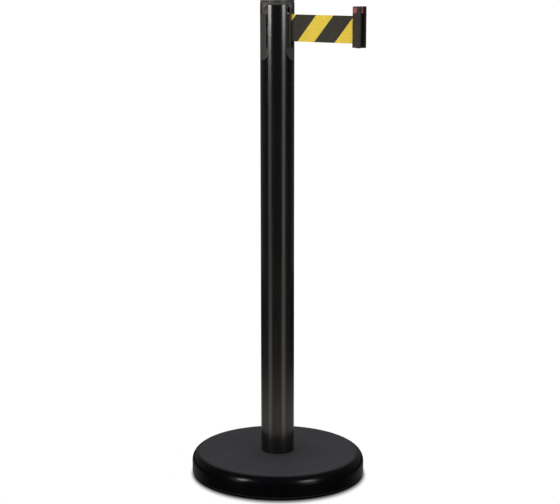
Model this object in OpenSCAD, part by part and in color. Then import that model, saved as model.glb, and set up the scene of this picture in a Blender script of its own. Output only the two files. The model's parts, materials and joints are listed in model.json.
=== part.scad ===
// Retractable belt stanchion: a weighted round base, a tube, and a belt cassette with three T-rail
// stations in its head. Station 0 lets the belt out; the other two take another post's belt clip.
// Millimetres, +Z up, +X along the pulled-out belt, origin on the floor under the tube's axis.

/* [Post] */
// Height from the floor to the top of the cap
total_h = 900; // [700:10:1100]
// Outside diameter of the tube
post_d = 63.5; // [63:0.5:66]
// Wall of the tube
tube_wall = 1.2; // [1:0.1:1.4]

/* [Base] */
// Diameter of the base cover
base_d = 332; // [320:2:360]
// Height of the base, floor to its flat top
base_h = 40.5; // [36:0.5:44]
// Rounding of the cover's upper edge
base_round = 19.4; // [8:0.2:22]
// Sheet thickness of the cover
cover_wall = 1.2; // [1:0.1:1.6]
// Thickness of the cast weight's disc
weight_t = 15; // [12:1:15]

/* [Belt] */
// Width of the webbing
belt_w = 49; // [46:1:49]
// Thickness of the webbing
belt_t = 0.5; // [0.4:0.1:0.6]
// Belt between the tube and the clip
belt_out = 128; // [60:1:400]
// How far the belt hangs down at the clip
belt_drop = 3.6; // [0:0.1:4]
// Outside radius of the belt left on the spool
roll_r = 21.4; // [16:0.1:21.4]

/* [Stations] */
// Width of a T-rail's head
rail_w = 19.8; // [19:0.1:20]
// Width of the T-rail's neck
neck_w = 13; // [12.5:0.1:13.5]
// Width of the channel that holds the rail
channel_w = 27; // [26.6:0.1:27.2]
// Width of the tube's U-notch
notch_w = 29.5; // [29:0.1:30]
// Width of the slot that lets the belt out
exit_w = 9.6; // [9:0.1:9.8]

/* [Clip] */
// Width of the belt clip, across the belt
clip_w = 26.2; // [26:0.1:26.4]
// Length of the belt clip, along the belt
clip_l = 14.7; // [14.6:0.1:16]
// Height of the belt clip
clip_h = 72.6; // [72:0.1:76]
// Travel of the lock button
lock_travel = 2.3; // [1:0.1:2.4]

/* [Hidden] */
$fn = 96;

eps = 0.01;         // overlap of shapes that merge
past = 1;           // how far a cut runs past the face it opens
slack = 0.1;        // gap round a fixed piece
play = 0.3;         // gap round a moving piece

// Radii of the post
post_r = post_d / 2;
bore_r = post_r - tube_wall;
body_r = bore_r - 0.25;          // the cassette slides down inside the tube
stations = [0, 120, -120];       // directions of the three stations; the first lets the belt out
plain_sides = [60, 180];         // directions that carry a fixing screw

// Heights of the head, from the cap down
cap_rim_h = 2.6;
cap_gap_h = 1.1;
collar_h = 5.5;
collar_top = total_h - cap_rim_h - cap_gap_h;
tube_top = collar_top - collar_h;
rail_top = total_h - 25.5;
rail_h = 62.1;
rail_bottom = rail_top - rail_h;
notch_bottom = total_h - 109.2;
floor_t = 3;                     // floor between the spool's chamber and the spring's
chamber_floor = rail_bottom - 3.4;
spring_top = chamber_floor - floor_t;
cassette_bottom = total_h - 116;
lid_t = 3;

// Depths of a station, from the tube's surface inwards
head_t = 3.5;                    // thickness of the rail's head
channel_d = 4.4;                 // space behind the head, for the clip's lips
head_back = post_r - head_t;
channel_back = head_back - channel_d;
chamber_r = channel_back - 1.25;
spring_r = 26.5;                 // radius of the spring's chamber

// Catch under the cap that the clip's lock snaps beneath
catch_w = 10;
catch_top = collar_top - 3;
catch_h = 7.5;
catch_reach = 5;
exit_top = catch_top - catch_h - 0.8;   // the belt's slot runs up to just below the nose

// Spool
shaft_r = 4;
bush_r = 6.5;
core_r = 12;
flange_r = chamber_r - 0.4;
flange_t = 2;
belt_top = rail_top - 0.8;
belt_mid = belt_top - belt_w / 2;
flange_gap = 0.6;                // between the belt's edge and a flange
upper_flange = belt_top + flange_gap;
lower_flange = belt_top - belt_w - flange_gap;
washer_t = 2;
spool_bottom = chamber_floor + washer_t + slack;
bush_h = 8;
tongue = [12, 3.8, 2.8];         // drive tongue between the arbor and the spool
shaft_top = upper_flange + flange_t + 15;
shaft_bottom = cassette_bottom - lid_t - 2.5;

// Guide pins inside the exit slot
pin_r = 2;
pin_at = [channel_back + 1.15, pin_r + slack + belt_t / 2];

// Base
foot_z = base_h;                 // the tube stands on the flat top
weight_bottom = 3.2;
weight_r = base_d / 2 - 16;
hub_r = 42;
bolt_r = 6;
bolt_head_h = 7.5;
bolt_head_af = 19;
recess_r = 18;
recess_top = weight_bottom + 13;
plug_t = 12;

// Clip: its own x runs from its rear face, where the belt enters, to the mouth between its lips
clip_x = post_r + belt_out;
clip_belt_mid = belt_mid - belt_drop;
clip_bottom = clip_belt_mid - 31.4;
clip_top = clip_bottom + clip_h;
lip_t = 3;
lip_drop = 0.9;                  // the lips reach a little lower than the back
mouth_w = 15;
clip_channel_w = rail_w + 0.8;
clip_channel_x = clip_l - lip_t - channel_d;
loop_x = 3.4;                    // belt pin, from the clip's rear face
loop_r = 1.4;
pocket_r = 2.5;
pocket_h = belt_w + 1.6;
lock_bottom = clip_top - 11.8;
lock_h = 10;
lock_window_x = 8.8;
lock_rear_wall = 1.6;
lock_pocket = 3;                 // pocket in the button for its spring
lock_coil_r = 2.4;
lock_recess = 2;                 // how far the button's face sits behind the lips' front

paint = [0.07, 0.07, 0.075];
plastic = [0.2, 0.19, 0.19];
steel = [0.62, 0.63, 0.65];
webbing = [0.86, 0.72, 0.15];

// ---------- shapes that repeat ----------

// A ring of the given radii between two heights
module ring(outer, inner, z0, z1) {
    translate([0, 0, z0]) difference() {
        cylinder(h = z1 - z0, r = outer);
        translate([0, 0, -past]) cylinder(h = z1 - z0 + 2 * past, r = inner);
    }
}

// A block between two corners
module block(low, high) {
    translate(low) cube(high - low);
}

// Half-section of a disc whose upper edge is rounded
module rounded_disc_section(r, z0, z1, round) {
    translate([0, z0]) square([r - round, z1 - z0]);
    translate([0, z0]) square([r, z1 - round - z0]);
    translate([r - round, z1 - round]) circle(round);
}

// A U-notch seen from outside, cut radially through the post's wall
module notch(width, bottom, top, inner_r) {
    translate([inner_r, 0, 0]) rotate([90, 0, 90]) linear_extrude(post_r - inner_r + past) {
        translate([0, bottom + width / 2]) circle(width / 2);
        translate([-width / 2, bottom + width / 2]) square([width, top - bottom - width / 2]);
    }
}

// Points of an arc
function arc(centre, r, a0, a1, n) = [
    for (i = [0 : n]) let (a = a0 + (a1 - a0) * i / n) centre + r * [cos(a), sin(a)]
];

// Outline of a strip of constant thickness along a path
function side(path, i) =
    let (a = path[max(i - 1, 0)], b = path[min(i + 1, len(path) - 1)], d = (b - a) / norm(b - a))
    [-d[1], d[0]];
function strip(path, t) = concat(
    [for (i = [0 : len(path) - 1]) path[i] + side(path, i) * t / 2],
    [for (i = [len(path) - 1 : -1 : 0]) path[i] - side(path, i) * t / 2]
);

// ---------- base ----------

module base_cover() {
    lip_z = 2;
    color(paint) rotate_extrude() difference() {
        rounded_disc_section(base_d / 2, lip_z, base_h, base_round);
        rounded_disc_section(base_d / 2 - cover_wall, lip_z - past, base_h - cover_wall,
                             base_round - cover_wall);
        translate([-base_d, -past]) square([base_d + bolt_r + 0.5, base_h + 2 * past]);
    }
}

module base_weight() {
    edge = 4;
    hub_top = base_h - cover_wall;
    color([0.3, 0.3, 0.31]) difference() {
        rotate_extrude() difference() {
            union() {
                rounded_disc_section(weight_r, weight_bottom, weight_bottom + weight_t, edge);
                rounded_disc_section(hub_r, weight_bottom, hub_top, edge);
            }
            translate([-base_d, 0]) square([base_d + bolt_r + 0.5, base_h]);
        }
        translate([0, 0, weight_bottom - past])
            cylinder(h = recess_top - weight_bottom + past, r = recess_r);
    }
}

module floor_ring() {
    wall_in = base_d / 2 - cover_wall - slack;
    upstand_t = 3;
    color([0.06, 0.06, 0.06]) rotate_extrude() polygon([
        [weight_r - 12, 0], [base_d / 2 - 0.4, 0], [base_d / 2 - 0.4, 2], [wall_in, 2],
        [wall_in, 9], [wall_in - upstand_t, 9], [wall_in - upstand_t, weight_bottom],
        [weight_r - 12, weight_bottom]
    ]);
}

module flat_washer() {
    color(steel) ring(12, bolt_r + 0.5, recess_top - 2.5, recess_top);
}

module spring_washer() {
    z1 = recess_top - 2.5;
    color(steel) difference() {
        ring(10.5, bolt_r + 0.3, z1 - 3, z1);
        rotate([0, 0, 20]) block([0, -0.6, z1 - 4], [12, 0.6, z1 + 1]);
    }
}

module base_bolt() {
    head_top = recess_top - 5.5;
    color(steel) {
        translate([0, 0, head_top - bolt_head_h])
            cylinder(h = bolt_head_h, r = bolt_head_af / sqrt(3), $fn = 6);
        translate([0, 0, head_top - eps]) cylinder(h = foot_z + plug_t - head_top, r = bolt_r - 0.1);
    }
}

// ---------- tube ----------

module foot_plug() {
    color(steel) ring(bore_r - 0.05, bolt_r, foot_z, foot_z + plug_t);
}

module fixing_screw_axis(angle) {
    rotate([0, 0, angle]) translate([post_r, 0, rail_bottom + 4.6]) rotate([0, -90, 0]) children();
}

module post_tube() {
    color(paint) difference() {
        ring(post_r, bore_r, foot_z, tube_top);
        for (a = stations) rotate([0, 0, a]) notch(notch_w, notch_bottom, tube_top + past, bore_r - 5);
        for (a = plain_sides) fixing_screw_axis(a) {
            translate([0, 0, -past]) cylinder(h = 8, r = 2.2);
            translate([0, 0, -0.1]) cylinder(h = 2.1, r1 = 4.1, r2 = 2.2);
        }
    }
}

// ---------- cassette ----------

// What is cut away round one T-rail, leaving the rail standing on the channel's back
module station_cut() {
    open_r = post_r + past;
    for (s = [-1, 1]) {
        y0 = s > 0 ? rail_w / 2 : -channel_w / 2;
        block([channel_back, y0, rail_bottom], [open_r, y0 + (channel_w - rail_w) / 2, rail_top + eps]);
        y1 = s > 0 ? neck_w / 2 : -channel_w / 2;
        block([channel_back, y1, rail_bottom], [head_back, y1 + (channel_w - neck_w) / 2, rail_top + eps]);
    }
    block([channel_back, -channel_w / 2, rail_top], [open_r, channel_w / 2, collar_top + past]);
}

// Nose that the clip's lock snaps beneath, with a ramp on top
module catch_nose() {
    x0 = channel_back - 0.5;
    x1 = channel_back + catch_reach;
    z0 = catch_top - catch_h;
    translate([0, catch_w / 2, 0]) rotate([90, 0, 0]) linear_extrude(catch_w)
        polygon([[x0, z0], [x1, z0], [x1, z0 + 1], [x1 - 1, z0 + 3], [x0 + 0.8, catch_top], [x0, catch_top]]);
}

module cassette_body() {
    boss_w = notch_w - 0.3;
    color(plastic) difference() {
        union() {
            translate([0, 0, cassette_bottom]) cylinder(h = collar_top - cassette_bottom, r = body_r);
            translate([0, 0, tube_top]) cylinder(h = collar_h, r = post_r);
            intersection() {
                for (a = stations) rotate([0, 0, a]) notch(boss_w, notch_bottom + 0.15, collar_top, 12);
                translate([0, 0, notch_bottom]) cylinder(h = collar_top - notch_bottom, r = post_r);
            }
        }
        difference() {
            for (a = stations) rotate([0, 0, a]) station_cut();
            for (a = stations) rotate([0, 0, a]) catch_nose();
        }
        translate([0, 0, chamber_floor]) cylinder(h = collar_top - chamber_floor + past, r = chamber_r);
        translate([0, 0, cassette_bottom - past])
            cylinder(h = spring_top - cassette_bottom + past, r = spring_r);
        translate([0, 0, spring_top - past]) cylinder(h = floor_t + 2 * past, r = bush_r + 1.5);
        block([chamber_r - 2, -exit_w / 2, rail_bottom], [post_r + past, exit_w / 2, exit_top]);
        for (s = [-1, 1]) translate([pin_at[0], s * pin_at[1], rail_bottom - 4])
            cylinder(h = 5, r = pin_r + 0.02);
        block([spring_r - 1, -0.6, cassette_bottom - past], [spring_r + 2, 0.6, spring_top - 1]);
        for (a = plain_sides) fixing_screw_axis(a) {
            cylinder(h = 8, r = 1.95);
            translate([0, 0, -0.1]) cylinder(h = 2.3, r1 = 4.2, r2 = 1.95);
        }
        lid_screw_axes() cylinder(h = 9, r = 1.05);
    }
}

module lid_screw_axes() {
    for (a = [60, 180, 300]) rotate([0, 0, a]) translate([spring_r + 1.7, 0, cassette_bottom - past])
        children();
}

module cassette_screws() {
    color(steel) for (a = plain_sides) fixing_screw_axis(a) difference() {
        union() {
            cylinder(h = 2, r1 = 4, r2 = 1.9);
            cylinder(h = 7.5, r = 1.9);
        }
        translate([0, 0, -past]) cylinder(h = past + 1.2, r = 1.3, $fn = 6);
    }
}

module guide_pins() {
    color(steel) for (s = [-1, 1]) translate([pin_at[0], s * pin_at[1], rail_bottom - 4])
        cylinder(h = rail_h + 3.5, r = pin_r);
}

module spring_cover() {
    z0 = cassette_bottom - lid_t;
    color(plastic) difference() {
        translate([0, 0, z0]) cylinder(h = lid_t, r = body_r);
        translate([0, 0, z0 - past]) cylinder(h = lid_t + 2 * past, r = shaft_r + 0.05);
        lid_screw_axes() translate([0, 0, -lid_t]) {
            cylinder(h = lid_t + 2, r = 1.2);
            cylinder(h = 2, r = 1.75);
        }
    }
}

module cover_screws() {
    color(steel) lid_screw_axes() translate([0, 0, 1 - lid_t]) {
        cylinder(h = 1, r = 1.65);
        cylinder(h = 10.5, r = 1);
    }
}

// ---------- spool and spring ----------

module mainspring() {
    turns = 12;
    steps = 18;
    r0 = bush_r + 0.7;
    r1 = spring_r - 0.6;
    path = concat(
        [[r0 - 2, 0]],
        [for (i = [0 : turns * steps]) let (a = 360 * i / steps, r = r0 + (r1 - r0) * i / (turns * steps))
            r * [cos(a), sin(a)]],
        [[spring_r + 1.6, 0]]
    );
    color([0.35, 0.37, 0.42]) translate([0, 0, cassette_bottom + 2]) linear_extrude(spring_top - cassette_bottom - 4)
        polygon(strip(path, 0.4));
}

module spring_arbor() {
    z0 = cassette_bottom + 1;
    color([0.75, 0.74, 0.7]) difference() {
        union() {
            translate([0, 0, z0]) cylinder(h = spool_bottom - z0, r = bush_r);
            translate([-tongue[0] / 2, -tongue[1] / 2, spool_bottom - eps]) cube(tongue);
        }
        translate([0, 0, z0 - past]) cylinder(h = 40, r = shaft_r + 0.05);
        block([bush_r - 2.2, -0.6, z0 - past], [bush_r + 1, 0.6, spring_top - 1]);
    }
}

module thrust_washer() {
    color([0.9, 0.9, 0.88]) ring(14, bush_r + 1.5, chamber_floor, chamber_floor + washer_t);
}

module spool() {
    color([0.75, 0.74, 0.7]) difference() {
        union() {
            translate([0, 0, spool_bottom]) cylinder(h = upper_flange - spool_bottom, r = core_r);
            translate([0, 0, lower_flange - flange_t]) cylinder(h = flange_t, r = flange_r);
        }
        translate([0, 0, spool_bottom - past]) cylinder(h = 80, r = shaft_r + 0.6);
        translate([0, 0, spool_bottom + 4]) cylinder(h = bush_h, r = bush_r);
        translate([0, 0, upper_flange - bush_h]) cylinder(h = bush_h + past, r = bush_r);
        block([-7, -2, spool_bottom - past], [7, 2, spool_bottom + 3]);
    }
}

module spool_flange() {
    color([0.75, 0.74, 0.7]) ring(flange_r, shaft_r + 0.6, upper_flange, upper_flange + flange_t);
}

module spool_bushes() {
    color([0.78, 0.6, 0.3]) for (z = [spool_bottom + 4, upper_flange - bush_h])
        ring(bush_r - 0.02, shaft_r + 0.05, z, z + bush_h);
}

module spool_shaft() {
    color(steel) difference() {
        translate([0, 0, shaft_bottom]) cylinder(h = shaft_top - shaft_bottom, r = shaft_r);
        ring(shaft_r + past, 3.2, shaft_bottom + 1, shaft_bottom + 2);
    }
}

module shaft_clip() {
    color(steel) difference() {
        ring(6.5, 3.25, shaft_bottom + 1.1, shaft_bottom + 1.9);
        block([0, -2.6, shaft_bottom], [8, 2.6, shaft_bottom + 3]);
    }
}

module belt_roll() {
    color(webbing) ring(roll_r, core_r + 0.05, belt_top - belt_w, belt_top);
}

// ---------- cap ----------

module top_cap() {
    boss_r = 7.5;
    skirt_r = chamber_r - 0.05;
    skirt_bottom = collar_top - 6;
    round = 1.2;
    color(plastic) difference() {
        union() {
            rotate_extrude() intersection() {
                union() {
                    rounded_disc_section(post_r, collar_top + cap_gap_h, total_h, round);
                    translate([0, collar_top]) square([post_r - 1.2, cap_gap_h + past]);
                }
                square([post_r, total_h]);
            }
            ring(skirt_r, skirt_r - 2, skirt_bottom, collar_top + eps);
            ring(boss_r, shaft_r + 0.05, shaft_top - 7, collar_top + eps);
        }
        for (a = stations) rotate([0, 0, a])
            block([channel_back, -channel_w / 2, collar_top - past], [post_r + past, channel_w / 2, total_h + past]);
    }
}

// ---------- belt ----------

module belt_web() {
    pin_path_r = pin_r + slack + belt_t / 2;
    roll_path_r = roll_r + play + belt_t / 2;
    half = acos((pin_path_r + roll_path_r) / norm(pin_at));
    leave = atan2(pin_at[1], pin_at[0]) + half;
    straight_from = post_r - 2;
    path = concat(
        arc([0, 0], roll_path_r, leave + 40, leave, 10),
        arc(pin_at, pin_path_r, leave + 180, 270, 8),
        [[straight_from, 0]]
    );
    low = belt_top - belt_w;
    color(webbing) {
        translate([0, 0, low]) linear_extrude(belt_w) polygon(strip(path, belt_t));
        translate([0, belt_t / 2, 0]) rotate([90, 0, 0]) linear_extrude(belt_t) polygon([
            [straight_from - eps, low], [straight_from - eps, belt_top],
            [clip_x - 2, belt_top - belt_drop], [clip_x - 2, low - belt_drop]
        ]);
    }
}

module belt_end_loop() {
    low = clip_belt_mid - belt_w / 2;
    color(webbing) translate([clip_x, 0, low]) linear_extrude(belt_w) difference() {
        union() {
            translate([loop_x, 0]) circle(loop_r + 0.65);
            translate([-2, -belt_t]) square([loop_x + 2, 2 * belt_t]);
        }
        translate([loop_x, 0]) circle(loop_r + 0.05);
    }
}

// ---------- clip ----------

module clip_body() {
    inner = clip_channel_w / 2;
    outer = clip_w / 2;
    slot_w = 4.6;
    low = clip_bottom - lip_drop;
    lock_top = lock_bottom + lock_h;
    color(plastic) translate([clip_x, 0, 0]) difference() {
        union() {
            block([0, -outer, clip_bottom], [clip_l, outer, clip_top]);
            block([clip_channel_x - 1, -outer, low], [clip_l, outer, clip_top]);
        }
        block([clip_channel_x, -inner, low - past], [clip_l - lip_t, inner, lock_bottom + eps]);
        block([clip_channel_x, -mouth_w / 2, low - past], [clip_l + past, mouth_w / 2, lock_bottom + eps]);
        block([lock_rear_wall, -inner, lock_bottom], [clip_l - lip_t, inner, lock_top]);
        block([lock_rear_wall, -mouth_w / 2, lock_bottom], [clip_l + past, mouth_w / 2, lock_top]);
        for (s = [-1, 1]) scale([1, s, 1])
            block([-past, inner, lock_bottom], [lock_window_x, outer + past, lock_top]);
        translate([loop_x, 0, clip_belt_mid - pocket_h / 2]) cylinder(h = pocket_h, r = pocket_r);
        block([-past, -slot_w / 2, clip_belt_mid - pocket_h / 2],
              [loop_x, slot_w / 2, clip_belt_mid + pocket_h / 2]);
        translate([loop_x, 0, clip_bottom - past]) cylinder(h = lock_bottom - clip_bottom - 0.5, r = loop_r + 0.02);
    }
}

module clip_pin() {
    color(steel) translate([clip_x + loop_x, 0, clip_bottom + 1])
        cylinder(h = lock_bottom - clip_bottom - 3, r = loop_r);
}

module lock_button() {
    inner = clip_channel_w / 2 - 0.2;
    outer = clip_w / 2 + 0.2;
    z0 = lock_bottom + 0.2;
    z1 = lock_bottom + lock_h - 0.2;
    rear_x = lock_rear_wall + lock_travel + play;
    pad_x = lock_window_x - 0.4;
    nose_w = mouth_w - 0.4;
    nose_x = clip_l - lock_recess;
    crown_r = 30;
    color([0.72, 0.08, 0.07]) translate([clip_x, 0, 0]) difference() {
        union() {
            for (s = [-1, 1]) scale([1, s, 1]) block([0, inner + 0.35, z0], [pad_x, outer, z1]);
            block([rear_x, -outer + eps, z0], [pad_x, outer - eps, z1]);
            block([rear_x, -inner, z0], [clip_l - lip_t - 0.2, inner, z1]);
            intersection() {
                block([rear_x + 1, -nose_w / 2, z0], [clip_l, nose_w / 2, z1]);
                translate([nose_x - crown_r, 0, z0]) cylinder(h = z1 - z0, r = crown_r);
            }
        }
        translate([rear_x - past, 0, (z0 + z1) / 2]) rotate([0, 90, 0])
            cylinder(h = lock_pocket + past, r = lock_coil_r + 0.5);
    }
}

// Helix of round wire along X, starting at the rear wall of the lock's chamber
module lock_spring() {
    wire = 0.5;
    turns = 4;
    steps = 14;
    sides = 8;
    length = lock_travel + play + lock_pocket - 2 * slack;
    function centre(i) = let (a = 360 * i / steps)
        [wire / 2 + (length - wire) * i / (turns * steps), lock_coil_r * cos(a), lock_coil_r * sin(a)];
    function rim(i, k) = let (a = 360 * i / steps, b = 360 * k / sides)
        centre(i) + wire / 2 * [sin(b), cos(b) * cos(a), cos(b) * sin(a)];
    n = turns * steps;
    points = [for (i = [0 : n]) for (k = [0 : sides - 1]) rim(i, k)];
    faces = concat(
        [[for (k = [sides - 1 : -1 : 0]) k]],
        [for (i = [0 : n - 1]) for (k = [0 : sides - 1]) let (a = i * sides, j = (k + 1) % sides)
            [a + k, a + j, a + sides + j, a + sides + k]],
        [[for (k = [0 : sides - 1]) n * sides + k]]
    );
    color(steel) translate([clip_x + lock_rear_wall + slack, 0, lock_bottom + lock_h / 2])
        polyhedron(points, faces);
}

base_cover();
base_weight();
floor_ring();
base_bolt();
flat_washer();
spring_washer();
foot_plug();
post_tube();
cassette_body();
cassette_screws();
guide_pins();
spring_cover();
cover_screws();
mainspring();
spring_arbor();
thrust_washer();
spool();
spool_flange();
spool_bushes();
spool_shaft();
shaft_clip();
belt_roll();
top_cap();
belt_web();
belt_end_loop();
clip_body();
clip_pin();
lock_button();
lock_spring();
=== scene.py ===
import json
import math
import random

import bmesh
import bpy
from mathutils import Matrix, Vector

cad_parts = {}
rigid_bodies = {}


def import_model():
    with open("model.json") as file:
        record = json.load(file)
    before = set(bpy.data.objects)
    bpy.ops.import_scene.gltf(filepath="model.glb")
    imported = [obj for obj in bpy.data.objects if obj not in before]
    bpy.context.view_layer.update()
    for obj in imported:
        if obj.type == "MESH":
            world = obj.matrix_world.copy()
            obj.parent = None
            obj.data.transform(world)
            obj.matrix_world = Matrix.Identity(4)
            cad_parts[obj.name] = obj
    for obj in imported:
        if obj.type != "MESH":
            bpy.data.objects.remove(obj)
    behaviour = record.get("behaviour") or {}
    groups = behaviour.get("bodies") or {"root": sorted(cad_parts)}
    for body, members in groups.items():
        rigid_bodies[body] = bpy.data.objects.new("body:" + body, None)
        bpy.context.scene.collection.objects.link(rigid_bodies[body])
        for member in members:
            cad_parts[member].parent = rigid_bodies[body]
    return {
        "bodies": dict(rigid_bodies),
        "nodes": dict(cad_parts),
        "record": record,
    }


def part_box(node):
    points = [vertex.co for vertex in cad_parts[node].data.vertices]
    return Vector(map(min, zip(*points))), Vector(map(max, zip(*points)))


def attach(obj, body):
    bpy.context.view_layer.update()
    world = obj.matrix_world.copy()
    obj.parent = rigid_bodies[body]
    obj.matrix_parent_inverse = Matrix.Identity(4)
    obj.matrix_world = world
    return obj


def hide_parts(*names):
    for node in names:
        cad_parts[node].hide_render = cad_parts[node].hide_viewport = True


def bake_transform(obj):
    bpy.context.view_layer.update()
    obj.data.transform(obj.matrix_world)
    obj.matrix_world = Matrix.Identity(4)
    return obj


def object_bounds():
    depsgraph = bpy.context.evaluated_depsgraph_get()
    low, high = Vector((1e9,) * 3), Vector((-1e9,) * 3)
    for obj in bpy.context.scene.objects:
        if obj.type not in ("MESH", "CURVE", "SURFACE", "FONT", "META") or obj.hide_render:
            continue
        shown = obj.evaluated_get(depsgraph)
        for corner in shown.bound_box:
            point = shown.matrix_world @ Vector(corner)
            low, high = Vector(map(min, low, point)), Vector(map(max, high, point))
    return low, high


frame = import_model()
cad_low, cad_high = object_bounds()
scene = bpy.context.scene
scene.view_settings.view_transform = "Standard"

# ---------- camera ----------

# The picture is the right-hand side of a wider one: the camera faces a little left of the post, and
# it was then turned so that the post stands upright.
CAMERA_AZIMUTH = 29.2
CAMERA_HEIGHT = 0.8878
CAMERA_DISTANCE = 2.5443
CAMERA_TURN = 2.92
CAMERA_SHIFT = 0.1266
CAMERA_PITCH = 10.192
CAMERA_ROLL = -0.563
CAMERA_LENS = 87.53


def level(azimuth):
    """Horizontal direction from the object; 0 points towards -Y and 90 towards +X."""
    a = math.radians(azimuth)
    return Vector((math.sin(a), -math.cos(a), 0))


camera_data = bpy.data.cameras.new("camera")
camera_data.lens = CAMERA_LENS
camera_data.sensor_width = 36
camera_data.shift_x = CAMERA_SHIFT
camera = bpy.data.objects.new("camera", camera_data)
camera.location = level(CAMERA_AZIMUTH) * CAMERA_DISTANCE + Vector((0, 0, CAMERA_HEIGHT))
camera.rotation_euler = (
    Matrix.Rotation(math.radians(CAMERA_AZIMUTH + CAMERA_TURN), 3, "Z")
    @ Matrix.Rotation(math.radians(90 - CAMERA_PITCH), 3, "X")
    @ Matrix.Rotation(math.radians(CAMERA_ROLL), 3, "Z")
).to_euler()
scene.collection.objects.link(camera)
scene.camera = camera


# ---------- materials ----------


class Shade:
    """A material's node tree, with short calls for its nodes."""

    def __init__(self, name, world=False):
        self.owner = bpy.data.worlds.new(name) if world else bpy.data.materials.new(name)
        self.owner.use_nodes = True
        self.tree = self.owner.node_tree
        if world:
            return
        self.shader = self.tree.nodes["Principled BSDF"]
        self.place = self.node("TexCoord", {}).outputs["Object"]

    def node(self, kind, inputs, **settings):
        made = self.tree.nodes.new("ShaderNode" + kind)
        for key, value in settings.items():
            setattr(made, key, value)
        self.feed(made, inputs)
        return made

    def feed(self, made, inputs):
        for key, value in inputs.items():
            if isinstance(value, bpy.types.NodeSocket):
                self.tree.links.new(value, made.inputs[key])
            else:
                made.inputs[key].default_value = value

    def math(self, operation, a, b=0.0, c=0.0, clamp=False):
        return self.node("Math", {0: a, 1: b, 2: c}, operation=operation, use_clamp=clamp).outputs[0]

    def noise(self, scale, detail=2.0, stretch=(1, 1, 1), place=None):
        where = self.node("Mapping", {"Vector": place or self.place, "Scale": stretch}).outputs[0]
        return self.node("TexNoise", {"Vector": where, "Scale": scale, "Detail": detail}).outputs[0]

    def ramp(self, value, low, high, out_low, out_high):
        inputs = {0: value, 1: low, 2: high, 3: out_low, 4: out_high}
        return self.node("MapRange", inputs, interpolation_type="SMOOTHSTEP").outputs[0]

    def mix(self, amount, a, b):
        return self.node("Mix", {0: amount, 6: a, 7: b}, data_type="RGBA").outputs[2]

    def bump(self, height, distance, strength=1.0, under=None):
        inputs = {"Height": height, "Distance": distance, "Strength": strength}
        if under:
            inputs["Normal"] = under
        return self.node("Bump", inputs).outputs[0]

    def flattened(self):
        """The place on the surface, without its height."""
        return self.node(
            "VectorMath", {0: self.place, 1: (1, 1, 0)}, operation="MULTIPLY"
        ).outputs[0]

    def length(self, vector):
        return self.node("VectorMath", {0: vector}, operation="LENGTH").outputs["Value"]

    def dot(self, a, b):
        return self.node(
            "VectorMath", {0: a, 1: tuple(b)}, operation="DOT_PRODUCT"
        ).outputs["Value"]

    def normalized(self, vector):
        return self.node("VectorMath", {0: vector}, operation="NORMALIZE").outputs[0]

    def axes(self, place=None):
        return self.node("SeparateXYZ", {0: place or self.place}).outputs

    def finish(self, **inputs):
        names = {
            "colour": "Base Color",
            "rough": "Roughness",
            "metal": "Metallic",
            "normal": "Normal",
            "specular": "Specular IOR Level",
            "sheen": "Sheen Weight",
            "sheen_rough": "Sheen Roughness",
        }
        self.feed(self.shader, {names[key]: value for key, value in inputs.items()})
        return self.owner


def grey(value, warm=0.0):
    return (value * (1 + warm), value, value * (1 - warm), 1)


def powder_coat(name, tone, rough, scuff_low=0.0, scuff_high=0.0, scuff=0.0):
    """Baked black coating: orange peel, a faint haze, hairline scuffs, and more wear between two
    heights."""
    s = Shade(name)
    haze = s.noise(9, 4)
    streak = s.noise(60, 3, (1, 1, 0.06))
    peel = s.noise(620, 2)
    grit = s.noise(2600, 1)
    hair = s.noise(260, 2, (1, 0.16, 0.05))
    scratch = s.ramp(hair, 0.66, 0.72, 0.0, 1.0)
    colour = s.mix(s.ramp(haze, 0.3, 0.75, 0, 1), grey(tone * 0.82, 0.02), grey(tone * 1.2, 0.05))
    colour = s.mix(s.math("MULTIPLY", scratch, 0.35), colour, grey(tone * 3.2, 0.04))
    wear = s.math("MULTIPLY", scratch, 0.05)
    if scuff:
        height = s.axes()[2]
        band = s.math(
            "MULTIPLY",
            s.ramp(height, scuff_low, scuff_low + 0.002, 0, 1),
            s.ramp(height, scuff_high, scuff_high + 0.004, 1, 0),
        )
        rub = s.math("MULTIPLY", band, s.ramp(s.noise(85, 5, (1, 1, 2.2)), 0.52, 0.7, 0, scuff))
        colour = s.mix(rub, colour, grey(tone * 5, 0.06))
        wear = s.math("ADD", wear, s.math("MULTIPLY", rub, 0.2))
    satin = s.ramp(streak, 0.25, 0.75, rough - 0.035, rough + 0.035)
    fine = s.bump(grit, 0.00001, 0.5)
    return s.finish(
        colour=colour,
        rough=s.math("ADD", satin, wear),
        normal=s.bump(peel, 0.00004, 0.6, fine),
        specular=0.5,
    )


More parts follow.
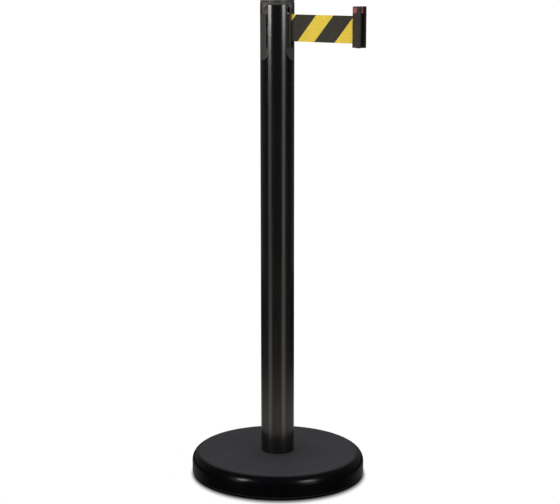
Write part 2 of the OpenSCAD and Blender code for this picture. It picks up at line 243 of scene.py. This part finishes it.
def moulded(
    name, tint, rough, grain=1800, depth=0.00003, fade=0.25, specular=0.5, skin=0.0, rail_top=0.0
):
    """Injection-moulded plastic: spark-eroded grain, slight flow marks and handling shine.
    Deeper than the radius skin it has painted shade below rail_top, the narrow channels painted darker,
    and a painted highlight above it, where the recess is painted lighter."""
    s = Shade(name)
    texture = s.noise(grain, 3)
    flow = s.noise(26, 4, (1, 1, 0.35))
    shine = s.noise(70, 3)
    speck = s.noise(5200, 1)
    low = tuple(c * (1 - fade) for c in tint) + (1,)
    high = tuple(c * (1 + fade) for c in tint) + (1,)
    colour = s.mix(s.ramp(flow, 0.25, 0.75, 0, 1), low, high)
    colour = s.mix(s.ramp(speck, 0.62, 0.75, 0, 0.3), colour, tuple(c * 1.9 for c in tint) + (1,))
    if skin:
        radius = s.length(s.flattened())
        # Painted shade: the channels deeper than the skin and below rail_top are painted darker
        deep = s.ramp(radius, skin - 0.0012, skin - 0.0004, 0.8, 0)
        height = s.axes()[2]
        deep = s.math("MULTIPLY", deep, s.ramp(height, rail_top - 0.0012, rail_top - 0.0002, 1, 0))
        colour = s.mix(deep, colour, tuple(c * 0.12 for c in tint) + (1,))
        # Painted highlight: the recess deeper than the skin and above rail_top is painted lighter
        painted_highlight_above_rail = s.math(
            "MULTIPLY",
            s.ramp(radius, skin - 0.004, skin - 0.0006, 1, 0),
            s.ramp(height, rail_top - 0.0008, rail_top + 0.0006, 0, 1),
        )
        painted_highlight_above_rail = s.math("MULTIPLY", painted_highlight_above_rail, s.ramp(s.noise(260, 3), 0.3, 0.65, 0.55, 1))
        colour = s.mix(painted_highlight_above_rail, colour, tuple(c * 2.3 for c in tint) + (1,))
    return s.finish(
        colour=colour,
        rough=s.ramp(shine, 0.3, 0.7, rough - 0.06, rough + 0.06),
        normal=s.bump(texture, depth, 0.7),
        specular=specular,
    )


def rubbed_and_highlit_edge(name, tint, rough):
    """The same plastic or coating on its edge faces, painted lighter: rubbed wear together with a
    painted edge highlight.
    """
    s = Shade(name)
    # Painted edge highlight and rubbed wear: the edge faces are painted lighter, more so where this
    # noise is high
    rub = s.noise(240, 4)
    low = tuple(c * 1.05 for c in tint) + (1,)
    high = tuple(c * 1.45 + 0.002 for c in tint) + (1,)
    return s.finish(
        colour=s.mix(s.ramp(rub, 0.35, 0.7, 0, 1), low, high),
        rough=s.ramp(rub, 0.3, 0.7, rough + 0.04, rough - 0.08),
        normal=s.bump(s.noise(1500, 2), 0.00001, 0.6),
    )


def worked_metal(name, tint, rough, stretch, scale=420, blotch=0.12):
    """Metal with its tool marks: brushed, turned or drawn along the direction that stretch makes
    long."""
    s = Shade(name)
    marks = s.noise(scale, 3, stretch)
    cloud = s.noise(45, 4)
    pits = s.noise(1400, 2)
    low = tuple(c * (1 - blotch) for c in tint) + (1,)
    high = tuple(min(1, c * (1 + blotch)) for c in tint) + (1,)
    deep = s.bump(s.ramp(pits, 0.7, 0.8, 0, 1), 0.00002, 0.5)
    return s.finish(
        colour=s.mix(s.ramp(cloud, 0.3, 0.7, 0, 1), low, high),
        metal=1.0,
        rough=s.ramp(marks, 0.3, 0.7, rough - 0.08, rough + 0.08),
        normal=s.bump(marks, 0.000015, 0.6, deep),
    )


def cast_iron(name):
    s = Shade(name)
    sand = s.noise(330, 5)
    lump = s.noise(38, 3)
    rust = s.ramp(s.noise(55, 5), 0.56, 0.7, 0, 0.55)
    colour = s.mix(s.ramp(sand, 0.3, 0.7, 0, 1), grey(0.035), grey(0.085, 0.03))
    return s.finish(
        colour=s.mix(rust, colour, (0.11, 0.045, 0.02, 1)),
        metal=0.35,
        rough=s.ramp(sand, 0.3, 0.7, 0.62, 0.85),
        normal=s.bump(sand, 0.00035, 0.8, s.bump(lump, 0.0009, 0.6)),
    )


def rubber(name):
    s = Shade(name)
    grain = s.noise(1300, 3)
    dust = s.ramp(s.noise(120, 4), 0.5, 0.75, 0, 0.5)
    return s.finish(
        colour=s.mix(dust, grey(0.005, 0.03), grey(0.018, 0.08)),
        rough=s.ramp(grain, 0.3, 0.7, 0.72, 0.9),
        normal=s.bump(grain, 0.00006, 0.8),
        specular=0.3,
    )


# Where a yellow stripe starts along the belt's lower edge, the stripes' spacing, the width of the
# yellow ones, and how far they lean for each metre of height
STRIPE_EDGE = 0.0421
STRIPE_PERIOD = 0.0775
STRIPE_YELLOW = 0.0354
STRIPE_LEAN = 0.81
YELLOW = ((0.66, 0.465, 0.034), (0.83, 0.61, 0.068))
DARK = ((0.0215, 0.0195, 0.0125), (0.041, 0.0375, 0.0245))


def webbing(name, follows, bottom):
    """Woven polyester: diagonal stripes dyed into the yarns, a plain weave and a little fuzz. The
    stripes move with the object follows, and bottom is the height of the belt's lower edge."""
    s = Shade(name)
    place = s.node("TexCoord", {}, object=follows).outputs["Object"]
    x, y, z = s.axes(place)
    up = s.math("SUBTRACT", z, bottom)
    wander = s.math("MULTIPLY", s.math("SUBTRACT", s.noise(900, 1, place=place), 0.5), 0.0011)
    along = s.math("ADD", s.math("SUBTRACT", x, s.math("MULTIPLY", up, STRIPE_LEAN)), wander)
    phase = s.math("FLOORED_MODULO", s.math("SUBTRACT", along, STRIPE_EDGE), STRIPE_PERIOD)
    edge_in = s.ramp(phase, 0.0, 0.0003, 0, 1)
    edge_out = s.ramp(phase, STRIPE_YELLOW, STRIPE_YELLOW + 0.0003, 1, 0)
    yellow = s.math("MULTIPLY", edge_in, edge_out)
    warp = s.math("SINE", s.math("MULTIPLY", z, math.tau / 0.00125))
    weft = s.math("SINE", s.math("MULTIPLY", x, math.tau / 0.0016))
    weave = s.math("MULTIPLY", warp, weft)
    yarn = s.noise(300, 3, (0.12, 1, 1), place)
    fuzz = s.noise(2400, 3, place=place)
    soil = s.ramp(s.noise(38, 4, place=place), 0.5, 0.8, 0, 0.2)
    tone = s.math("ADD", s.math("MULTIPLY", weave, 0.22), yarn, clamp=True)
    bright = s.mix(tone, YELLOW[0] + (1,), YELLOW[1] + (1,))
    dark = s.mix(tone, DARK[0] + (1,), DARK[1] + (1,))
    colour = s.mix(yellow, dark, bright)
    colour = s.mix(soil, colour, (0.16, 0.13, 0.09, 1))
    return s.finish(
        colour=colour,
        rough=s.ramp(fuzz, 0.3, 0.7, 0.66, 0.86),
        normal=s.bump(weave, 0.00016, 0.8, s.bump(fuzz, 0.00006, 0.6)),
        specular=0.28,
        sheen=0.12,
        sheen_rough=0.4,
    )


def thread(name):
    s = Shade(name)
    x, y, z = s.axes()
    twist = s.math("SINE", s.math("MULTIPLY", s.math("ADD", z, x), math.tau / 0.0004))
    return s.finish(
        colour=s.mix(s.ramp(twist, -1, 1, 0, 1), grey(0.025, 0.05), grey(0.07, 0.08)),
        rough=s.ramp(s.noise(900, 2), 0.3, 0.7, 0.55, 0.75),
        normal=s.bump(twist, 0.00008, 0.8),
    )


def cover_paint(name, top_z):
    """The base cover: a matt, finely textured flat top and a smooth glossy rim, with scuffs low down.
    Its flat top is painted much lighter than its rim: painted light on the top and painted shade on the
    rim.
    """
    s = Shade(name)
    height = s.axes()[2]
    flat = s.math("POWER", s.ramp(height, top_z - 0.0046, top_z - 0.0001, 0, 1), 2.4)
    haze = s.ramp(s.noise(11, 4), 0.3, 0.75, 0, 1)
    grain = s.noise(1500, 2)
    peel = s.noise(600, 2)
    # Painted light and shade: the flat top's colour is painted lighter, and the rim's is painted near
    # black
    matt_top_lit = s.mix(haze, (0.0178, 0.0156, 0.0198, 1), (0.0228, 0.0198, 0.025, 1))
    matt_top_lit = s.mix(s.ramp(grain, 0.6, 0.75, 0, 0.35), matt_top_lit, (0.07, 0.066, 0.07, 1))
    gloss_rim_shaded = s.mix(haze, (0.0012, 0.001, 0.0014, 1), (0.002, 0.0017, 0.0023, 1))
    low = s.math("MULTIPLY", s.ramp(height, 0.003, 0.005, 0, 1), s.ramp(height, 0.013, 0.02, 1, 0))
    rub = s.math("MULTIPLY", low, s.ramp(s.noise(85, 5, (1, 1, 2.2)), 0.58, 0.76, 0, 0.07))
    gloss_rim_shaded = s.mix(rub, gloss_rim_shaded, (0.03, 0.028, 0.027, 1))
    scratch = s.ramp(s.noise(190, 3, (0.25, 1.6, 1)), 0.68, 0.74, 0, 0.4)
    matt_top_lit = s.mix(scratch, matt_top_lit, (0.075, 0.072, 0.075, 1))
    rough = s.ramp(flat, 0, 0.6, 0.2, 0.74)
    rough = s.math("ADD", rough, s.math("MULTIPLY", s.math("ADD", rub, scratch), 0.2))
    texture = s.math("MULTIPLY", grain, flat)
    return s.finish(
        colour=s.mix(flat, gloss_rim_shaded, matt_top_lit),
        rough=rough,
        normal=s.bump(texture, 0.00008, 0.7, s.bump(peel, 0.00003, 0.5)),
        specular=s.ramp(flat, 0, 0.6, 0.13, 0.35),
    )


TUBE_TONE = 0.0052
HEAD_TINT = (0.047, 0.042, 0.038)
CLIP_TINT = (0.0272, 0.0225, 0.0172)
RED_TINT = (0.262, 0.056, 0.05)
POST_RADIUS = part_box("post_tube")[1].y
RAIL_TOP = cad_high[2] - 0.0255

materials = {
    "cover_paint": cover_paint("cover_paint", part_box("base_cover")[1].z),
    "tube_paint": powder_coat("tube_paint", TUBE_TONE, 0.19, 0.04, 0.06, 0.06),
    "iron": cast_iron("iron"),
    "foot_rubber": rubber("foot_rubber"),
    "zinc_steel": worked_metal("zinc_steel", (0.62, 0.63, 0.66), 0.34, (1, 1, 1), 160, 0.14),
    "bright_steel": worked_metal("bright_steel", (0.72, 0.73, 0.75), 0.2, (0.2, 0.2, 4), 500, 0.05),
    "spring_steel": worked_metal("spring_steel", (0.3, 0.34, 0.44), 0.28, (1, 1, 0.1), 700, 0.2),
    "head_plastic": moulded(
        "head_plastic", HEAD_TINT, 0.5, specular=0.2, skin=POST_RADIUS, rail_top=RAIL_TOP
    ),
    "clip_plastic": moulded("clip_plastic", CLIP_TINT, 0.68, specular=0.25),
    "lock_plastic": moulded("lock_plastic", RED_TINT, 0.55, 1500, 0.000015, 0.08, specular=0.3),
    "spool_plastic": moulded("spool_plastic", (0.68, 0.66, 0.6), 0.42, 1300, 0.00002, 0.05),
    "washer_plastic": moulded("washer_plastic", (0.82, 0.82, 0.78), 0.38, 1100, 0.00001, 0.03),
    "bronze": worked_metal("bronze", (0.55, 0.36, 0.16), 0.4, (0.3, 0.3, 3), 450, 0.25),
}
# Edge faces painted lighter: rubbed wear together with a painted edge highlight
tube_edge = rubbed_and_highlit_edge("tube_edge", (TUBE_TONE,) * 3, 0.3)
head_edge = rubbed_and_highlit_edge("head_edge", HEAD_TINT, 0.5)
clip_edge = rubbed_and_highlit_edge("clip_edge", CLIP_TINT, 0.6)
lock_edge = rubbed_and_highlit_edge("lock_edge", RED_TINT, 0.5)

belt_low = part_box("belt_roll")[0].z
belt_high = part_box("belt_roll")[1].z
web_material = webbing("webbing", frame["bodies"]["belt"], belt_low)
roll_material = webbing("webbing_wound", None, belt_low)
materials["webbing"] = web_material
thread_material = thread("stitch_thread")
# The cap is glossier and darker than the moulding below it
cap_plastic = moulded("cap_plastic", tuple(0.72 * c for c in HEAD_TINT), 0.42, specular=0.34)

SLOT_NODES = {
    "cover_paint": ["base_cover"],
    "tube_paint": ["post_tube"],
    "iron": ["base_weight"],
    "foot_rubber": ["floor_ring"],
    "zinc_steel": [
        "base_bolt", "flat_washer", "spring_washer", "foot_plug",
        "cassette_screws", "cover_screws", "shaft_clip",
    ],
    "bright_steel": ["guide_pins", "spool_shaft", "clip_pin"],
    "spring_steel": ["mainspring", "lock_spring"],
    "head_plastic": ["cassette_body", "top_cap", "spring_cover"],
    "clip_plastic": ["clip_body"],
    "lock_plastic": ["lock_button"],
    "spool_plastic": ["spool", "spool_flange", "spring_arbor"],
    "washer_plastic": ["thrust_washer"],
    "bronze": ["spool_bushes"],
    "webbing": ["belt_roll", "belt_web", "belt_end_loop"],
}
node_slot = {node: slot for slot, members in SLOT_NODES.items() for node in members}
for name, node in frame["nodes"].items():
    node.data.materials.clear()
    node.data.materials.append(materials[node_slot[name]])


# ---------- mesh helpers ----------


def body_holding(node):
    for body, members in frame["record"]["behaviour"]["bodies"].items():
        if node in members:
            return body


def make_object(name, mesh, *looks):
    made = bpy.data.objects.new(name, mesh)
    for look in looks:
        mesh.materials.append(look)
    scene.collection.objects.link(made)
    return made


def weighted_normals(obj):
    """Keeps the flat faces flat beside their rounded edges."""
    modifier = obj.modifiers.new("normals", "WEIGHTED_NORMAL")
    modifier.mode = "FACE_AREA"
    modifier.keep_sharp = True


# Edges sharper than the first angle are broken; those sharper than the second keep a crisp line.
BROKEN_EDGE = math.radians(28)
CRISP_EDGE = math.radians(48)


def refined(node, width, edge_look, look=None):
    """A copy of a CAD node with its hard edges broken, their faces lighter as rubbed wear and a painted
    edge highlight. It stands for the node. Its look is its slot's material unless another is given."""
    mesh = bmesh.new()
    mesh.from_mesh(frame["nodes"][node].data)
    bmesh.ops.remove_doubles(mesh, verts=mesh.verts, dist=2e-6)
    bmesh.ops.dissolve_limit(
        mesh, angle_limit=math.radians(0.4), verts=mesh.verts, edges=mesh.edges, delimit={"NORMAL"}
    )
    hard = [
        e for e in mesh.edges
        if len(e.link_faces) == 2 and e.calc_face_angle(0) > BROKEN_EDGE
    ]
    bmesh.ops.bevel(
        mesh,
        geom=hard,
        offset=width,
        offset_type="OFFSET",
        segments=2,
        profile=0.6,
        affect="EDGES",
        clamp_overlap=True,
        material=1,
    )
    for face in mesh.faces:
        face.smooth = True
    for edge in mesh.edges:
        if len(edge.link_faces) == 2 and edge.calc_face_angle(0) > CRISP_EDGE:
            edge.smooth = False
    data = bpy.data.meshes.new(node + "_refined")
    mesh.to_mesh(data)
    mesh.free()
    made = make_object(node + "_refined", data, look or materials[node_slot[node]], edge_look)
    weighted_normals(made)
    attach(made, body_holding(node))
    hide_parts(node)


def grid_tube(rows):
    """Vertices and faces of a closed skin through rows of points; each row is one closed ring."""
    count = len(rows[0])
    points = [p for row in rows for p in row]
    faces = []
    for i in range(len(rows) - 1):
        for k in range(count):
            j = (k + 1) % count
            faces.append((i * count + k, i * count + j, (i + 1) * count + j, (i + 1) * count + k))
    faces.append(tuple(range(count - 1, -1, -1)))
    faces.append(tuple((len(rows) - 1) * count + k for k in range(count)))
    return points, faces


def band_mesh(name, path, low, high, thick, drop=None):
    """Woven band that stands on edge along a level path: flat, with thicker rounded selvedges."""
    across = [0, 0.0003, 0.0009, 0.0016]
    width = high - low
    inner = [width * k / 12 for k in range(1, 12)]
    heights = across + inner + [width - v for v in reversed(across)]
    rows = []
    for i, point in enumerate(path):
        ahead = path[min(i + 1, len(path) - 1)]
        behind = path[max(i - 1, 0)]
        direction = (ahead - behind).normalized()
        side = Vector((-direction.y, direction.x, 0))
        sink = drop(point) if drop else 0.0
        front, back = [], []
        for h in heights:
            edge = min(h, width - h)
            if edge <= 0:
                half = thick * 0.18
            elif edge < 0.0015:
                half = thick * 0.5
            else:
                half = thick * 0.44
            base = Vector((point.x, point.y, low + h - sink))
            front.append(base - side * half)
            back.append(base + side * half)
        rows.append(front + back[::-1])
    points, faces = grid_tube(rows)
    data = bpy.data.meshes.new(name)
    data.from_pydata([tuple(p) for p in points], [], faces)
    data.validate()
    mesh = bmesh.new()
    mesh.from_mesh(data)
    bmesh.ops.recalc_face_normals(mesh, faces=mesh.faces)
    for face in mesh.faces:
        face.smooth = len(face.verts) == 4
    mesh.to_mesh(data)
    mesh.free()
    return data


def arc(centre, radius, start, end, steps):
    made = []
    for i in range(steps + 1):
        a = math.radians(start + (end - start) * i / steps)
        made.append(Vector((centre[0] + radius * math.cos(a), centre[1] + radius * math.sin(a), 0)))
    return made


# ---------- head, clip and tube ----------

refined("post_tube", 0.0002, tube_edge)
refined("cassette_body", 0.00025, head_edge)
refined("top_cap", 0.0003, head_edge, look=cap_plastic)
refined("clip_body", 0.0004, clip_edge)
refined("lock_button", 0.0004, lock_edge)

# The lock's spring, a smooth-shaded copy of its CAD node
coil = make_object("lock_coil", frame["nodes"]["lock_spring"].data.copy())
for face in coil.data.polygons:
    face.use_smooth = True
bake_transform(coil)
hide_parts("lock_spring")

# ---------- belt ----------

# The belt leaves the roll, runs round the near guide pin and goes straight to the clip.
BELT_THICK = 0.0005
ROLL_THICK = 0.00046
PIN_AT = (0.0250, 0.00235)
PIN_PATH = 0.00235
ROLL_PATH = 0.02195
ROLL_SIDE = 40
STRAIGHT_FROM = 0.02975
RIPPLE = 0.00022
web_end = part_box("belt_end_loop")[0].x
belt_drop = belt_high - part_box("belt_end_loop")[1].z

half_turn = math.degrees(math.acos((PIN_PATH + ROLL_PATH) / math.hypot(*PIN_AT)))
leave = math.degrees(math.atan2(PIN_AT[1], PIN_AT[0])) + half_turn
web_path = arc((0, 0), ROLL_PATH, leave + ROLL_SIDE, leave, 14)
web_path += arc(PIN_AT, PIN_PATH, leave + 180, 270, 12)
steps = 64
for i in range(steps + 1):
    t = i / steps
    x = STRAIGHT_FROM + (web_end - STRAIGHT_FROM) * t
    calm = math.sin(math.pi * t) ** 2
    web_path.append(Vector((x, RIPPLE * calm * math.sin(9.5 * t + 0.7), 0)))


def web_drop(point):
    return belt_drop * max(0.0, point.x - STRAIGHT_FROM) / (web_end - STRAIGHT_FROM)


web_mesh = band_mesh("belt_webbing", web_path, belt_low, belt_high, BELT_THICK, web_drop)
web = make_object("belt_webbing", web_mesh, web_material)
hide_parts("belt_web")

loop_x = (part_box("clip_pin")[0].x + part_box("clip_pin")[1].x) / 2
loop_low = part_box("belt_end_loop")[0].z
loop_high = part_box("belt_end_loop")[1].z
loop_r = 0.00176
layer = 0.00026
sewn = 0.0036
loop_path = [Vector((web_end + sewn * k / 6, -layer, 0)) for k in range(7)]
loop_path += arc((loop_x, 0), loop_r, 180 + 28, 540 - 28, 30)
loop_path += [Vector((web_end + sewn * k / 6, layer, 0)) for k in range(6, -1, -1)]
loop_mesh = band_mesh("belt_sewn_loop", loop_path, loop_low, loop_high, ROLL_THICK)
loop = make_object("belt_sewn_loop", loop_mesh, web_material)
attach(loop, "belt")
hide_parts("belt_end_loop")


def stitches(name, x, low, high, pitch, radius, off):
    """One row of lock stitches down both faces of the loop, each a short capsule of thread."""
    rng = random.Random(7)
    mesh = bmesh.new()
    count = int((high - low) / pitch)
    for side in (-1, 1):
        for k in range(count):
            z0 = low + pitch * (k + 0.18)
            z1 = low + pitch * (k + 0.86)
            rings = []
            for j in range(7):
                t = j / 6
                swell = math.sin(math.pi * (0.08 + 0.84 * t)) ** 0.5
                ring = []
                for m in range(6):
                    a = math.tau * m / 6
                    ring.append(mesh.verts.new((
                        x + radius * swell * math.cos(a) + rng.uniform(-1, 1) * 4e-6,
                        side * (off + radius * 0.35 * swell) + radius * 0.6 * swell * math.sin(a),
                        z0 + (z1 - z0) * t,
                    )))
                rings.append(ring)
            for a_ring, b_ring in zip(rings, rings[1:]):
                for m in range(6):
                    n = (m + 1) % 6
                    mesh.faces.new((a_ring[m], a_ring[n], b_ring[n], b_ring[m]))
            mesh.faces.new(rings[0][::-1])
            mesh.faces.new(rings[-1])
    bmesh.ops.recalc_face_normals(mesh, faces=mesh.faces)
    for face in mesh.faces:
        face.smooth = True
    data = bpy.data.meshes.new(name)
    mesh.to_mesh(data)
    mesh.free()
    return make_object(name, data, thread_material)


seam = stitches(
    "belt_stitching",
    x=web_end + 0.0011,
    low=loop_low + 0.001,
    high=loop_high - 0.001,
    pitch=0.0024,
    radius=0.00022,
    off=0.00049,
)
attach(seam, "belt")

# The rest of the belt: a spiral from the spool's barrel out to the point where the belt leaves it
roll_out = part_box("belt_roll")[1].x
roll_in = 0.01205
turns = 18
per_turn = 40
roll_path = []
for i in range(turns * per_turn + 1):
    share = i / (turns * per_turn)
    radius = roll_in + layer + (roll_out - roll_in - 2 * layer) * share
    a = math.radians(leave + ROLL_SIDE) + math.tau * turns * (1 - share)
    roll_path.append(Vector((radius * math.cos(a), radius * math.sin(a), 0)))
roll_mesh = band_mesh("belt_wound", roll_path, belt_low, belt_high, ROLL_THICK)
roll = make_object("belt_wound", roll_mesh, roll_material)
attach(roll, "spool")
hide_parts("belt_roll")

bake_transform(web)

# ---------- studio ----------


def soft_light(name, azimuth, distance, low, high, width, radiance, **seen):
    """An upright area light that faces the post, given by what it sends out per area."""
    light = bpy.data.lights.new(name, "AREA")
    light.shape = "RECTANGLE"
    light.size = width
    light.size_y = high - low
    light.energy = radiance * math.pi * width * (high - low)
    made = bpy.data.objects.new(name, light)
    made.location = level(azimuth) * distance + Vector((0, 0, (low + high) / 2))
    made.rotation_euler = (math.radians(90), 0, math.radians(azimuth))
    made.visible_camera = False
    for key, value in seen.items():
        setattr(made, key, value)
    scene.collection.objects.link(made)
    return made


# The boxes and strips are only mirrored in the part, and the key and the fill only light it.
BASE_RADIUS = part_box("base_cover")[1].y
LEFT_BOX = CAMERA_AZIMUTH - 49.8
RIGHT_BOX = CAMERA_AZIMUTH + 42
soft_light("left_box", LEFT_BOX, 2.0, 0.86, 1.8, 0.36, 23, visible_diffuse=False)
soft_light("left_strip", LEFT_BOX - 2, 2.0, 0.02, 0.85, 0.52, 1.0, visible_diffuse=False)
soft_light("right_box", RIGHT_BOX, 2.0, 0.86, 1.8, 0.62, 12.5, visible_diffuse=False)
soft_light("right_strip", RIGHT_BOX, 2.0, 0.02, 0.85, 0.62, 1.5, visible_diffuse=False)
soft_light("key", CAMERA_AZIMUTH - 34, 2.6, 1.1, 2.3, 1.4, 7.6, visible_glossy=False)
soft_light("fill", CAMERA_AZIMUTH + 50, 2.6, 1.0, 2.2, 1.2, 0.5, visible_glossy=False)

studio = Shade("studio", world=True)
tree = studio.tree
background = tree.nodes["Background"]
background.inputs["Color"].default_value = (1, 1, 1, 1)
direction = studio.node("TexCoord", {}).outputs["Generated"]
away = studio.dot(direction, -level(CAMERA_AZIMUTH))
rise = studio.axes(direction)[2]
overhead = studio.ramp(rise, -0.1, 1.0, 0.3, 1.9)
lit = studio.math("MULTIPLY", overhead, studio.ramp(away, -0.8, 0.8, 0.6, 1.25))
tree.links.new(lit, background.inputs["Strength"])
behind = studio.ramp(away, -0.1, 0.9, 0.01, 0.2)
above = studio.ramp(rise, 0.5, 1.0, 0.0, 0.06)
mirrored = studio.node("Background", {"Strength": studio.math("ADD", behind, above)})
seen = studio.node("Background", {"Color": (1, 1, 1, 1), "Strength": 1.05})
rays = studio.node("LightPath", {})
first = studio.node(
    "MixShader", {0: rays.outputs["Is Glossy Ray"], 1: background.outputs[0], 2: mirrored.outputs[0]}
)
second = studio.node(
    "MixShader", {0: rays.outputs["Is Camera Ray"], 1: first.outputs[0], 2: seen.outputs[0]}
)
tree.links.new(second.outputs[0], tree.nodes["World Output"].inputs["Surface"])
scene.world = studio.owner


def disc(name, inner, outer, z, look):
    mesh = bmesh.new()
    sides = 64
    turn = [math.tau * k / sides for k in range(sides)]
    rings = [
        [mesh.verts.new((radius * math.cos(a), radius * math.sin(a), z)) for a in turn]
        for radius in (inner, outer)
    ]
    for k in range(sides):
        n = (k + 1) % sides
        mesh.faces.new((rings[0][k], rings[1][k], rings[1][n], rings[0][n]))
    if inner < 0.01:
        mesh.faces.new(rings[0])
    data = bpy.data.meshes.new(name)
    mesh.to_mesh(data)
    mesh.free()
    made = make_object(name, data, look)
    return made


floor_look = Shade("floor")
flat_place = floor_look.flattened()
distance = floor_look.length(flat_place)
# The base's contact shadow, painted on the floor and fixed there: the base's outline moved a little
# towards the photograph's camera, and softened three times as much that way as across.
SHADOW_SHIFT = 0.0194
SHADOW_SOFTNESS = 0.0052
nearer = level(CAMERA_AZIMUTH + 2)
offset = floor_look.node(
    "VectorMath", {0: flat_place, 1: tuple(nearer * SHADOW_SHIFT)}, operation="SUBTRACT"
).outputs[0]
gap = floor_look.length(offset)
along = floor_look.dot(floor_look.normalized(offset), nearer)
squared = floor_look.math("POWER", along, 2)
stretch = floor_look.math("SQRT", floor_look.math("MULTIPLY_ADD", squared, 7.65, 1))
gap = floor_look.math("DIVIDE", floor_look.math("SUBTRACT", gap, BASE_RADIUS), stretch)
contact = floor_look.ramp(gap, -SHADOW_SOFTNESS, SHADOW_SOFTNESS, 0, 1)
floor_look.finish(colour=(0.9, 0.9, 0.9, 1), rough=0.9, specular=0.0)
sweep = floor_look.node("Emission", {"Color": (1, 1, 1, 1), "Strength": contact})
floor_rays = floor_look.node("LightPath", {})
surface = floor_look.node(
    "MixShader",
    {0: floor_rays.outputs["Is Camera Ray"], 1: floor_look.shader.outputs[0], 2: sweep.outputs[0]},
)
clear = floor_look.node("BsdfTransparent", {})
fade = floor_look.node(
    "MixShader",
    {0: floor_look.ramp(distance, 0.7, 1.6, 0, 1), 1: surface.outputs[0], 2: clear.outputs[0]},
)
floor_tree = floor_look.tree
floor_tree.links.new(fade.outputs[0], floor_tree.nodes["Material Output"].inputs["Surface"])
floor = disc("floor", 0.005, 1.7, -0.0002, floor_look.owner)
floor.visible_glossy = False

# What the glossy tube mirrors from the floor: a glow round the base, stronger towards the two boxes
card_look = Shade("floor_shine")
card_place = card_look.flattened()
reach = card_look.length(card_place)
heading = card_look.normalized(card_place)
shine = card_look.ramp(reach, 0.28, 0.95, 0.8, 0.04)
for box_azimuth, glare in ((LEFT_BOX, 1.0), (RIGHT_BOX, 1.25)):
    facing = card_look.dot(heading, level(box_azimuth))
    lobe = card_look.ramp(facing, math.cos(math.radians(15)), math.cos(math.radians(6)), 0, glare)
    shine = card_look.math("ADD", shine, lobe)
ahead = card_look.dot(heading, level(CAMERA_AZIMUTH))
shine = card_look.math("MULTIPLY", shine, card_look.ramp(ahead, -0.5, 0.3, 0.5, 1.0))
near_base = card_look.ramp(reach, 0.24, 0.3, 0.0, 1.0)
glow = card_look.node(
    "Emission", {"Color": (1, 0.93, 0.86, 1), "Strength": card_look.math("MULTIPLY", shine, near_base)}
)
card_tree = card_look.tree
card_tree.links.new(glow.outputs[0], card_tree.nodes["Material Output"].inputs["Surface"])
card = disc("floor_shine", 0.23, 1.98, 0.0002, card_look.owner)
card.visible_camera = False
card.visible_diffuse = False
card.visible_shadow = False
card.visible_transmission = False
unshone = bpy.data.collections.new("not_lit_by_floor_shine")
unshone.objects.link(frame["nodes"]["base_cover"])
unshone.collection_objects[0].light_linking.link_state = "EXCLUDE"
card.light_linking.receiver_collection = unshone
